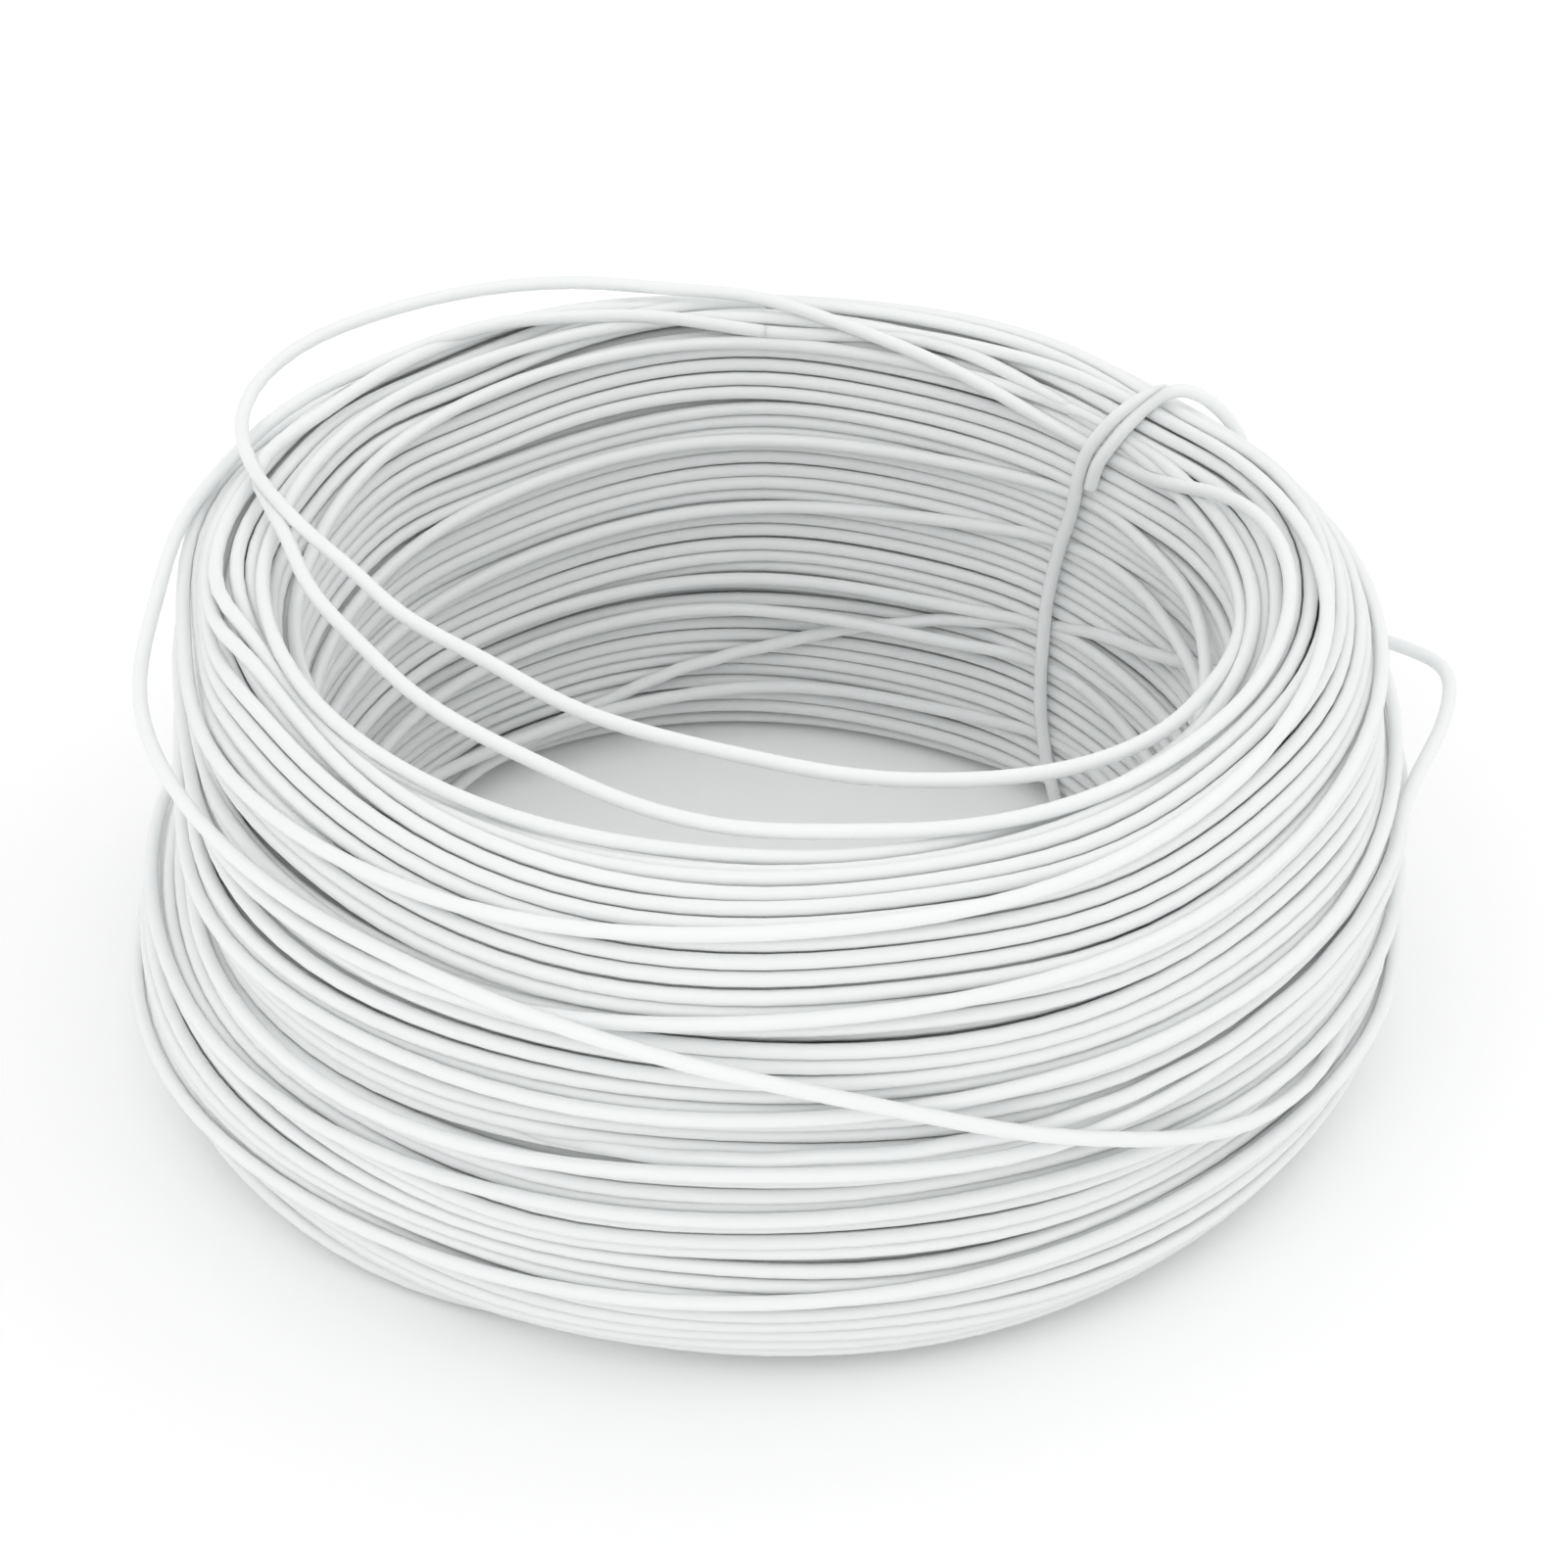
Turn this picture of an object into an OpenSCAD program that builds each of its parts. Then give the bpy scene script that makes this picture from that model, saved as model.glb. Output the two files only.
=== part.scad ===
// A hand coil of solid-core hook-up wire, bound with one offcut of the same wire.
// The coil lies flat: its axis is Z, and Z = 0 is the floor under it.

/* [Wire] */
// Diameter over the insulation
wire_d = 1.4; // [1.2:0.05:1.5]
// Diameter of the solid conductor
conductor_d = 0.5; // [0.3:0.05:0.8]

/* [Coil] */
// Outer diameter over the widest turns
coil_od = 128; // [120:1:150]
// Diameter of the eye
eye_d = 89; // [80:1:90]
// Height from the floor to the top turns
coil_h = 50; // [46:1:60]
// How much slimmer the coil is at its top and foot than at its waist
barrel_swell = 2.3; // [1:0.1:4]
// Radius of the outer shoulder, along the middle of the turns
shoulder_r = 11; // [8:0.5:14]
// Radius of the outer foot, along the middle of the turns
foot_r = 6.5; // [4:0.5:9]
// Radius of the rim round the top of the eye
rim_r = 5; // [3:0.25:5.5]
// Radius of the edge round the bottom of the eye
eye_foot_r = 4; // [3.5:0.25:6]

/* [Outer turns] */
// Loops that the outer layer makes from foot to crown
outer_loops = 21; // [16:1:21]
// Loops below the place where the crossing strand dives in
lower_loops = 6; // [4:1:7]
// Loop that is kinked outwards
kinked_loop = 11; // [9:1:14]
// How far the kink stands out
kink_reach = 8; // [2:0.5:12]
// Distance from the eye's wall out to the top turn
crown_inset = 7; // [6:0.25:9]
// Clearance between the turns and the packed turns below them
turn_seat = 0.05; // [0.02:0.01:0.2]

/* [Tie] */
// Direction of the tie, counted from +X
tie_azimuth = 44; // [35:1:50]
// Clearance between the tie and what it lies on
tie_seat = 0.1; // [0.05:0.05:0.3]
// Clearance between the two overlapping ends of the tie
lap_gap = 0.15; // [0.1:0.05:0.5]
// Radius of the tie's bends under the coil
tie_foot_r = 2.5; // [2:0.25:2.75]
// Radius of the tie's bend over the rim of the eye
tie_rim_r = 4; // [3:0.25:4]
// Radius of the tie's bend over the outer shoulder
tie_shoulder_r = 10.5; // [8:0.5:11]
// How far the cut end hangs down inside the eye
tie_end_drop = 10; // [5:0.5:20]

/* [Hidden] */
$fn = 64;
insulation = [0.94, 0.95, 0.96];
copper = [0.80, 0.48, 0.32];

wire_r = wire_d / 2;
eye_r = eye_d / 2;
turn_r = coil_od / 2 - wire_r;      // middle of the widest turn
crown_z = coil_h - wire_r;          // middle of the top turns
sole_z = wire_r;                    // middle of a turn that lies on the floor

// ---- the section that the outer turns follow: foot, barrel and shoulder arcs ----
step_a = 15;                        // 24 rings to a loop
tube_sides = 6;
half_h = coil_h / 2;
barrel_r = (half_h * half_h + barrel_swell * barrel_swell) / (2 * barrel_swell);
barrel_c = [turn_r - barrel_r, half_h];

// Middle of a fillet of radius r that touches the barrel arc and the level z
function fillet_c(r, z) =
  [barrel_c[0] + sqrt(pow(barrel_r - r, 2) - pow(z - barrel_c[1], 2)), z];
crown_r = eye_r + crown_inset;      // the top turn, where the loose loops begin
// The shoulder's radius, limited where the bundle is too narrow for it
crown_dx = crown_r - barrel_c[0];
crown_dz = crown_z - barrel_c[1];
widest_shoulder =
  (pow(barrel_r, 2) - pow(crown_dx, 2) - pow(crown_dz, 2)) / (2 * (barrel_r - crown_dz));
bend_r = min(shoulder_r, widest_shoulder);
shoulder_c = fillet_c(bend_r, crown_z - bend_r);
foot_c = fillet_c(foot_r, sole_z + foot_r);
// Where the barrel arc meets each fillet, as an angle of its normal
shoulder_a = asin((shoulder_c[1] - barrel_c[1]) / (barrel_r - bend_r));
foot_a = asin((foot_c[1] - barrel_c[1]) / (barrel_r - foot_r));
first_a = -50;                      // normal of the lowest turn
ledge_a = -62;                      // end of the ledge that the packed turns make below it

function arc_length(r, from, to) = r * (to - from) * PI / 180;
foot_s = arc_length(foot_r, first_a, foot_a);
barrel_s = foot_s + arc_length(barrel_r, foot_a, shoulder_a);
shoulder_s = barrel_s + arc_length(bend_r, shoulder_a, 90);
outer_s = shoulder_s + shoulder_c[0] - crown_r;

function on_arc(c, r, a) = c + r * [cos(a), sin(a)];
// A point of the section, s along it from the lowest turn, and lift outwards from it
function section_at(s, lift = 0) =
  s < foot_s ? on_arc(foot_c, foot_r + lift, first_a + s / foot_r * 180 / PI)
  : s < barrel_s ? on_arc(barrel_c, barrel_r + lift, foot_a + (s - foot_s) / barrel_r * 180 / PI)
  : s < shoulder_s
    ? on_arc(shoulder_c, bend_r + lift, shoulder_a + (s - barrel_s) / bend_r * 180 / PI)
  : [crown_r + outer_s - s, crown_z + lift];

function arc_points(c, r, from, to, count) =
  [for (i = [0:count]) on_arc(c, r, from + (to - from) * i / count)];
function around(a, r, z) = [r * cos(a), r * sin(a), z];
function along(a) = [-sin(a), cos(a), 0];
function unit(v) = v / norm(v);

// ---- the outer layer: one helix, parted where the crossing strand dives in ----
first_az = 300;                     // azimuth of the lowest turn's start
top_az = 90;                        // azimuth where the upper turns end
gap_az = 45;                        // from the lower turns' end to the upper turns' start
whole_az = outer_loops * 360 + top_az - first_az;
pitch = outer_s * 360 / whole_az;
part_s = pitch * lower_loops;       // where the lower turns stop
function turn_at(a) =
  let (p = section_at(outer_s * a / whole_az)) around(first_az + a, p[0], p[1]);

// Strand ends: each runs straight into a drilled hole in the packed turns
dive_slope = 14;
dive_run = 9;
dive_clearance = 0.15;
dive_hole_d = wire_d + 2 * dive_clearance;
dive_end_gap = 0.1;
function dive(p, a, way) =
  p + dive_run * (way * cos(dive_slope) * along(a) - sin(dive_slope) * unit([p[0], p[1], 0]));

lower_az = lower_loops * 360;
lower_first = turn_at(step_a);
lower_last = turn_at(lower_az - step_a);
lower_route = concat(
  [dive(lower_first, first_az + step_a, -1)],
  [for (a = [step_a:step_a:lower_az - step_a]) turn_at(a)],
  [dive(lower_last, first_az - step_a, 1)]);

// The kink: rows of azimuth and share of its reach
kink = [
  [-12, 0], [-7, 0.17], [-2, 0.45], [3, 0.75], [7, 0.95], [9.5, 1], [11.5, 0.88], [13, 0.62],
  [15.5, 0.28], [19, 0.05], [24, 0],
];
kink_az = kinked_loop * 360 - first_az;
function kinked(row) =
  let (a = kink_az + row[0], p = turn_at(a), out = unit([p[0], p[1], 0]))
  p + kink_reach * row[1] * out;

upper_az = lower_az + gap_az;
upper_joint = turn_at(whole_az);
upper_first = turn_at(upper_az + step_a);
upper_route = concat(
  [dive(upper_first, first_az + gap_az + step_a, -1)],
  [for (a = [upper_az + step_a:step_a:whole_az - step_a])
    each (a == kink_az ? [for (row = kink) kinked(row)] : a == kink_az + step_a ? [] : [turn_at(a)])],
  [upper_joint - wire_d * along(top_az), upper_joint]);

// ---- two loose loops over the top ----
// Places across the bundle: 0 is the wall of the eye, 1 the top turn, 2 the middle of the widest
// turn, and a place below 0 is a share of the eye's radius, into the eye
function across(u) =
  u < 0 ? eye_r * (1 + u)
  : u < 1 ? eye_r + u * crown_inset
  : crown_r + (u - 1) * (turn_r - crown_r);
// Rows of azimuth, place across the bundle, and rise over the top turns in wire diameters
loose_table = [
  [105, 1, 0], [135, 0.99, 0], [150, 0.97, 0.07], [165, 0.8, 0.2], [180, 0.26, 0.57],
  [203, -0.072, 0.8], [223, -0.076, 0.86], [240, -0.054, 0.86], [260, 0.19, 0.64], [280, 0.7, 0.36],
  [297, 0.86, 0.07], [330, 0.83, 0], [360, 0.79, 0], [402, 0.71, 0], [425, 0.73, 0.36],
  [440, 0.86, 1.3], [450, 1.02, 1.5], [459, 1.27, 1.5], [473, 1.66, 1.45], [490, 1.98, 1.3],
  [500, 2.03, 1.15], [508, 1.88, 1.15], [514, 1.66, 1.35], [526, 1.02, 1.8], [536, 0.06, 1.65],
  [546, -0.115, 1.3], [561, -0.216, 1], [578, -0.297, 0.86], [600, -0.276, 0.86], [627, -0.196, 0.86],
  [647, -0.074, 0.7], [668, 0.26, 0.36], [680, 0.41, 0.14], [692, 0.41, 0], [715, 0.24, 0],
  [762, 0.43, 0], [790, 0.46, 0.07], [805, 0.49, 0.14],
];
loose_rows = [for (row = loose_table) [row[0], across(row[1]), crown_z + row[2] * wire_d]];
loose_end_place = 0.5;
loose_end_rise = 0.2;
loose_last_az = 795;                // last ring before the loops' end
wide_from = 430;                    // twice the rings where the second loop swings wide
wide_to = 560;
loose_end = around(top_az, across(loose_end_place), crown_z + loose_end_rise * wire_d);
// A smooth curve through the rows of a table, read at azimuth a
function smooth(t, a, col) =
  let (i = max([for (j = [0:len(t) - 2]) if (t[j][0] <= a) j]),
    p0 = t[max(i - 1, 0)], p1 = t[i], p2 = t[i + 1], p3 = t[min(i + 2, len(t) - 1)],
    h = p2[0] - p1[0], u = (a - p1[0]) / h,
    m1 = h * (p2[col] - p0[col]) / (p2[0] - p0[0]), m2 = h * (p3[col] - p1[col]) / (p3[0] - p1[0]))
  (2 * u * u * u - 3 * u * u + 1) * p1[col] + (u * u * u - 2 * u * u + u) * m1
  + (3 * u * u - 2 * u * u * u) * p2[col] + (u * u * u - u * u) * m2;
loose_route = concat(
  [upper_joint, upper_joint + wire_d * along(top_az)],
  [for (a = [top_az + step_a:step_a / 2:loose_last_az])
    if (a % step_a == 0 || (a > wide_from && a < wide_to))
    around(a, smooth(loose_rows, a, 1), smooth(loose_rows, a, 2))],
  [loose_end - wire_d * along(top_az), loose_end]);

// ---- the strand that bows out at the left and crosses the front ----
// Places along the section: 0 is where the turns part, 1 the foot of the shoulder, 2 its top, and
// past 2 a share of the way from the top turn to the wall of the eye
function place_s(u) =
  u < 1 ? part_s + u * (barrel_s - part_s)
  : u < 2 ? barrel_s + (u - 1) * (shoulder_s - barrel_s)
  : outer_s + (u - 2) * crown_inset;
// Rows of azimuth, place along the section, and lift off it in wire diameters
crossing_table = [
  [105, 2.27, 1.25], [120, 1.94, 1.6], [135, 1.75, 1.6], [150, 1.53, 1.75], [165, 1.36, 2],
  [180, 1.22, 2.05], [195, 1.16, 2.5], [210, 1.17, 2.55], [225, 1.25, 2.25], [240, 1.23, 2],
  [255, 1.1, 2.05], [270, 0.975, 2], [285, 0.66, 1.7], [297, 0.4, 1.65], [304, 0.26, 1.65],
  [311, 0.14, 1.65], [318, 0.055, 0.9], [325, 0.01, 0.15],
];
last_az = crossing_table[len(crossing_table) - 1][0];
crossing_body = [for (row = crossing_table)
  let (p = section_at(place_s(row[1]), row[2] * wire_d)) around(row[0], p[0], p[1])];
crossing_route = concat(
  [loose_end, loose_end + wire_d * along(top_az)],
  crossing_body,
  [dive(crossing_body[len(crossing_body) - 1], last_az, 1)]);

// ---- tubes swept along a route: side is a direction that the rings keep square to ----
function ring(p, t, side, r, n) =
  let (b = -unit(side - (side * t) * t), out = cross(b, t))
  [for (k = [0:n - 1]) let (a = (k + 0.5) * 360 / n) p + r * (cos(a) * out + sin(a) * b)];
function heading(route, i) =
  i == 0 ? unit(route[1] - route[0])
  : i == len(route) - 1 ? unit(route[i] - route[i - 1])
  : unit(unit(route[i + 1] - route[i]) + unit(route[i] - route[i - 1]));
// Wall between two stations of a tube, whose points follow each other by step
function wall(i, k, n, step, at) =
  let (a = i * step + at + k, b = i * step + at + (k + 1) % n) [a, b, b + step, a + step];
module rod(route, side, r, n) {
  last = (len(route) - 1) * n;
  quads = [for (i = [0:len(route) - 2], k = [0:n - 1]) wall(i, k, n, n, 0)];
  polyhedron(
    [for (i = [0:len(route) - 1]) each ring(route[i], heading(route, i), side, r, n)],
    concat(
      [for (q = quads) each [[q[0], q[2], q[1]], [q[0], q[3], q[2]]]],
      [for (k = [1:n - 2]) [0, k, k + 1]],
      [for (k = [1:n - 2]) [last, last + k + 1, last + k]]),
    convexity = 10);
}
// The same with a bore of radius bore_r
module pipe(route, side, r, bore_r, n) {
  step = 2 * n;
  last = (len(route) - 1) * step;
  outer = [for (i = [0:len(route) - 2], k = [0:n - 1]) wall(i, k, n, step, 0)];
  inner = [for (i = [0:len(route) - 2], k = [0:n - 1]) wall(i, k, n, step, n)];
  polyhedron(
    [for (i = [0:len(route) - 1]) let (t = heading(route, i))
      each concat(ring(route[i], t, side, r, n), ring(route[i], t, side, bore_r, n))],
    concat(
      [for (q = outer) each [[q[0], q[2], q[1]], [q[0], q[3], q[2]]]],
      [for (q = inner) each [[q[0], q[1], q[2]], [q[0], q[2], q[3]]]],
      [for (k = [0:n - 1]) let (b = (k + 1) % n) each [[k, b, b + n], [k, b + n, k + n]]],
      [for (k = [0:n - 1]) let (a = last + k, b = last + (k + 1) % n)
        each [[a, b + n, b], [a, a + n, b + n]]]),
    convexity = 10);
}
module turns(route) {
  color(insulation) rod(route, [0, 0, 1], wire_r, tube_sides);
}

function to_segment(p, a, b) =
  let (d = b - a, u = max(0, min(1, (p - a) * d / (d * d)))) norm(p - a - u * d);
// Least distance from the points of one route to the stretches of another
function least_gap(from, to, apart) = min([for (i = [0:len(from) - 1], j = [0:len(to) - 2])
  if (apart == 0 || abs(i - j) > apart) to_segment(from[i], to[j], to[j + 1])]) - wire_d;
function halved(route) =
  [for (i = [0:len(route) - 2]) each [route[i], (route[i] + route[i + 1]) / 2]];
half_loop = 360 / step_a / 2;
echo(gap_lower = least_gap(lower_route, lower_route, half_loop));
echo(gap_upper = least_gap(upper_route, upper_route, half_loop));
echo(gap_loose = least_gap(halved(loose_route), halved(loose_route), 2 * half_loop));
echo(gap_loose_to_upper = least_gap([for (i = [1:len(loose_route) - 1]) loose_route[i]],
  [for (i = [0:len(upper_route) - 3]) upper_route[i]], 0));
echo(gap_crossing_to_upper = least_gap(halved(crossing_route), upper_route, 0));
echo(gap_crossing_to_lower = least_gap(halved(crossing_route), lower_route, 0));
echo(gap_crossing_to_loose = least_gap([for (i = [2:len(crossing_route) - 1]) crossing_route[i]],
  [for (i = [0:len(loose_route) - 4]) loose_route[i]], 0));
echo(gap_upper_to_lower = least_gap(lower_route, upper_route, 0));
echo(loops = (lower_az + whole_az - upper_az) / 360 + 2 + (last_az - top_az) / 360, pitch = pitch);

// ---- the packed turns below: one solid of their outer shape ----
chord_sag = turn_r * (1 - cos(step_a / 2));
packed_off = wire_r + turn_seat;
packed_shift = [chord_sag, 0];
packed_top = crown_z - packed_off;
packed_section = concat(
  arc_points(foot_c - packed_shift, foot_r + sole_z, -90, ledge_a, 3),
  arc_points(foot_c - packed_shift, foot_r - packed_off, ledge_a, foot_a, 6),
  arc_points(barrel_c - packed_shift, barrel_r - packed_off, foot_a, shoulder_a, 6),
  arc_points(shoulder_c - packed_shift, bend_r - packed_off, shoulder_a, 90, 8),
  arc_points([eye_r + rim_r, packed_top - rim_r], rim_r, 90, 180, 6),
  arc_points([eye_r + eye_foot_r, eye_foot_r], eye_foot_r, 180, 270, 6));

// Hole for a strand that dives in: drilled along its last stretch, with a flat bottom
module dive_hole(from, to) {
  way = unit(to - from);
  tilt = acos(way[2]);
  turn = atan2(way[1], way[0]);
  translate(from - wire_d * way)
    rotate([0, tilt, turn])
      cylinder(d = dive_hole_d, h = norm(to - from) + wire_d + dive_end_gap);
}
module route_hole(route, end) {
  n = len(route);
  dive_hole(end == 0 ? route[1] : route[n - 2], end == 0 ? route[0] : route[n - 1]);
}

module packed_turns() {
  color(insulation)
    difference() {
      rotate_extrude() polygon(packed_section);
      tie_groove();
      route_hole(lower_route, 0);
      route_hole(lower_route, 1);
      route_hole(upper_route, 0);
      route_hole(crossing_route, 1);
    }
}
module lower_turns() { turns(lower_route); }
module upper_turns() { turns(upper_route); }
module loose_loops() { turns(loose_route); }
module crossing_strand() { turns(crossing_route); }

// ---- the tie: once round the bundle, with its ends side by side on top ----
tie_in = eye_r - tie_seat - wire_r;
tie_out = coil_od / 2 + tie_seat + wire_r;
tie_top = coil_h + tie_seat + wire_r;
tie_sole = wire_r;
tie_lap = wire_d + lap_gap;
tie_sides = 8;
tie_step = 18;                      // degrees from ring to ring in a bend
tie_tighter = 0.5;                  // least that the tie bends tighter than the shoulder below it
tie_bend_r = min(tie_shoulder_r, bend_r - tie_tighter);
tie_shoulder_x = tie_out - tie_bend_r;
// Quarter bend round [x, z] in the plane y, from the angle start and 90 degrees back
function tie_bend(x, y, z, r, start) =
  [for (a = [0:tie_step:90]) [x + r * cos(start - a), y, z + r * sin(start - a)]];
// Under the coil the tie sways from one plane to the other
tie_sway_run = tie_out - tie_in - 2 * tie_foot_r;
tie_sway = [for (u = [0.25:0.25:0.75])
  [tie_out - tie_foot_r - u * tie_sway_run, -tie_lap * (1 + cos(180 * u)) / 2, tie_sole]];
tie_route = concat(
  [[tie_in, -tie_lap, tie_top - tie_end_drop]],
  tie_bend(tie_in + tie_rim_r, -tie_lap, tie_top - tie_rim_r, tie_rim_r, 180),
  tie_bend(tie_shoulder_x, -tie_lap, tie_top - tie_bend_r, tie_bend_r, 90),
  tie_bend(tie_out - tie_foot_r, -tie_lap, tie_sole + tie_foot_r, tie_foot_r, 0),
  tie_sway,
  tie_bend(tie_in + tie_foot_r, 0, tie_sole + tie_foot_r, tie_foot_r, -90),
  tie_bend(tie_in + tie_rim_r, 0, tie_top - tie_rim_r, tie_rim_r, 180),
  [[tie_shoulder_x, 0, tie_top]]);
// The turns part round the tie where the coil stands on it
module tie_groove() {
  groove_w = wire_d + 2 * tie_seat;
  rotate([0, 0, tie_azimuth])
    translate([0, -tie_lap - groove_w / 2, -1])
      cube([coil_od, tie_lap + groove_w, 1 + wire_d + 3 * tie_seat]);
}
module tie_insulation() {
  color(insulation)
    rotate([0, 0, tie_azimuth]) pipe(tie_route, [0, 1, 0], wire_r, conductor_d / 2, tie_sides);
}
module tie_conductor() {
  color(copper)
    rotate([0, 0, tie_azimuth]) rod(tie_route, [0, 1, 0], conductor_d / 2, tie_sides);
}

packed_turns();
lower_turns();
upper_turns();
loose_loops();
crossing_strand();
tie_insulation();
tie_conductor();
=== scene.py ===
"""A hand coil of white solid-core hook-up wire, bound with an offcut of the same wire.

The coil lies flat on the floor of the frame: its axis is Z. The long wire is wound in layers round the
section of the bundle, from the middle out, and each turn settles on the ones laid before it.
"""

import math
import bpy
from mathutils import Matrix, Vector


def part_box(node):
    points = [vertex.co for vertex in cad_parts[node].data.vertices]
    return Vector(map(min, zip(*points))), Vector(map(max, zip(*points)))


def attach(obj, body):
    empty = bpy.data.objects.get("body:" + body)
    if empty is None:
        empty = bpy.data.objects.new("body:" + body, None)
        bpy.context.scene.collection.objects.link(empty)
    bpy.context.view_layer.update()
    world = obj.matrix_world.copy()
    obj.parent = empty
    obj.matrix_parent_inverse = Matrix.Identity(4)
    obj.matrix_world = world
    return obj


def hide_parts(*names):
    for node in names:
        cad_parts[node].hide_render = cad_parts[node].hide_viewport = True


bl_info = {
    "name": "Bound Wire Coil",
    "version": (1, 0, 0),
    "blender": (4, 5, 0),
    "location": "View3D > Sidebar > Wire Coil",
    "description": "Winds a coil of hook-up wire turn by turn and binds it with a tie",
    "category": "Add Mesh",
}

import bmesh
import bpy
import numpy as np
from bpy.props import FloatProperty, FloatVectorProperty, IntProperty, PointerProperty
from mathutils import Matrix, Vector

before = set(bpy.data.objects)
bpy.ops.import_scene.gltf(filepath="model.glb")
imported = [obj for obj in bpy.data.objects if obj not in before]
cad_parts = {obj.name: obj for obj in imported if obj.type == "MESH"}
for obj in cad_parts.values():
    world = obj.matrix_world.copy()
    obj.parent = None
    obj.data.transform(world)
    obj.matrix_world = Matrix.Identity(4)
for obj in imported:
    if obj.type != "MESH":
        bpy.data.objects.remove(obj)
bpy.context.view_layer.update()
MM = 0.001

# ---- sizes read from the frame, in millimetres ----
UPPER_LOW, UPPER_HIGH = (np.array(corner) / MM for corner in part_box("upper_turns"))
COIL_R = float(-UPPER_LOW[1])
COIL_H = float(UPPER_HIGH[2])

# ---- the wire and the bundle's section, in millimetres ----
WIRE = 1.4
EYE_R = 44.5
SKIN_DEPTH = 1.9
TOP_DEPTH = 1.3
LAYER_STEP = 1.3
FLOOR_CLEARANCE = 1.1
BARREL_LEAN = 1.1
CROWN_R = 52.0
SHOULDER_FALL = 20.0
RIM_FALL = 10.7
FOOT_R = 8.0
LEAST_FOOT_R = 1.0
EYE_FOOT_R = 2.5
LEAST_EYE_FOOT_R = 0.8
LEAST_RUN = 1.0
OUTLINE_STEP = 0.3

# ---- the bundle's unevenness: azimuths and spreads in degrees, depths and heights in millimetres ----
# The foot of the wall of the eye stands in: all round, and more at the right and at the back
EYE_LEAN, EYE_LEAN_X, EYE_LEAN_Y = 1.2, 2.6, 0.6
EYE_LEAN_TOP = 32.0
# Between which radii and heights a point comes to count as outside, as upper and as on top
OUTWARD_BAND = (EYE_R + 2, COIL_R - 3)
UPPER_BAND = (30, COIL_H - 4)
TOP_BAND = (30, COIL_H)
# The tie draws the section in: down at the top, from both sides, and up at the foot
TIE_AZ, TIE_SPREAD = 38.0, 17.0
TIE_DENT = 0.8
TIE_DRAW = 0.3
TIE_RAISE = 1.3
TIE_RAISE_BAND = (1, 9)
# The waist at the left, the hollow at its foot nearer the front, and the flat at the right
WAIST_AZ, WAIST_SPREAD = 190.0, 27.0
WAIST_DEPTH = 6.3
WAIST_BAND = (12, 24)
WAIST_EASE, WAIST_EASE_BAND = 0.3, (38, 48)
HOLLOW_AZ, HOLLOW_SPREAD = 240.0, 28.0
HOLLOW_DEPTH = 0.8
HOLLOW_BAND = (8, 20)
FLAT_AZ, FLAT_SPREAD = 12.0, 42.0
FLAT_DEPTH, FLAT_UPPER = 0.9, 0.4
# The rise of the rim at the back
RISE_AZ, RISE_SPREAD = 112.0, 34.0
RISE_HEIGHT = 1.8
# Waves round the coil: how deep, and how far they turn with the height or where they start
SLOW_WAVE, SLOW_TWIST = 0.35, 0.13
QUICK_WAVE, QUICK_TWIST = 0.22, 0.55
TOP_WAVE, TOP_WAVE_START = 0.35, 0.7

# ---- how the turns are laid ----
STATIONS = 96
CORE_STATIONS = 48
CORE_LAYERS = (("inner_turns", (6, 5, 4)), ("middle_turns", (3, 2)))
CORE_PITCH = 1.04
GAP_WIDTH = (0.035, 0.09)
GAP_OPEN = (0.25, 0.8)
BED_LIFT, BED_SWELL = 0.12, 0.16
STRAY_FROM, STRAY_TO, STRAY_SWAY = 0.08, 0.93, 0.012
# Waves along the wire: the slowest and the fastest in cycles to a turn, and how many between them
DRIFT_WAVES = (0.3, 1.3, 7)
RIPPLE_WAVES, RIPPLE_SHARE = (2.2, 4.6, 6), 0.35
BED_WAVES = (0.4, 2.4, 8)
STRAY_WAVES = (0.25, 1.2, 7)
RATE_SPREAD = (0.85, 1.15)
# How deep an end is tucked in, and over how many stations
TUCK_DEPTH = 2.4
TUCK_STATIONS = 9
# How many of its own last turns a strand is laid over
LOOKS_BACK = 5
# How much of its lift a strand loses under the tie, and how near to it in degrees
TIE_HOLD = 0.8
TIE_REACH = 12.0
TIE_CROWN_AZ = 40.0

# ---- roundness of a wire's section, as its curve's bevel resolution ----
HIDDEN, BELOW, OUTER, CORE, LOOSE = 1, 2, 3, 4, 6

# ---- the loose strands, in millimetres ----
CROWN_INSET = 7.0
CROWN_Z = COIL_H - WIRE / 2
TURN_R = COIL_R - WIRE / 2
LOOSE_STEP = 3.0
# Where the loops start, and how much further on the strand that crosses the front follows them
JOINT_AZ = 90.0
LAP = 720
# How far over the bundle's top a strand lies, and where it rises from it or leaves it for the eye
LIES_OVER = 0.15 * WIRE
FREE_BAND = (0.12 * WIRE, 0.5 * WIRE)
EYE_EDGE_BAND = (-0.3, 1.2)
# Where the way out of the bundle turns from outwards to upwards, and from how deep it is taken
SHOULDER_BAND = (36, 45)
LEAST_RISE = 0.1
DEEPEST = -2.5 * WIRE
# Degrees over which the two ends dive into the bundle
START_TUCK_RUN = 30
END_TUCK_RUN = 24
# Where the second loop goes under the first, by azimuth along the wire, and how deep
DIVE_DOWN, DIVE_UP = (758, 792), (797, 845)
DIVE_DEPTH = 2.2
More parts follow.
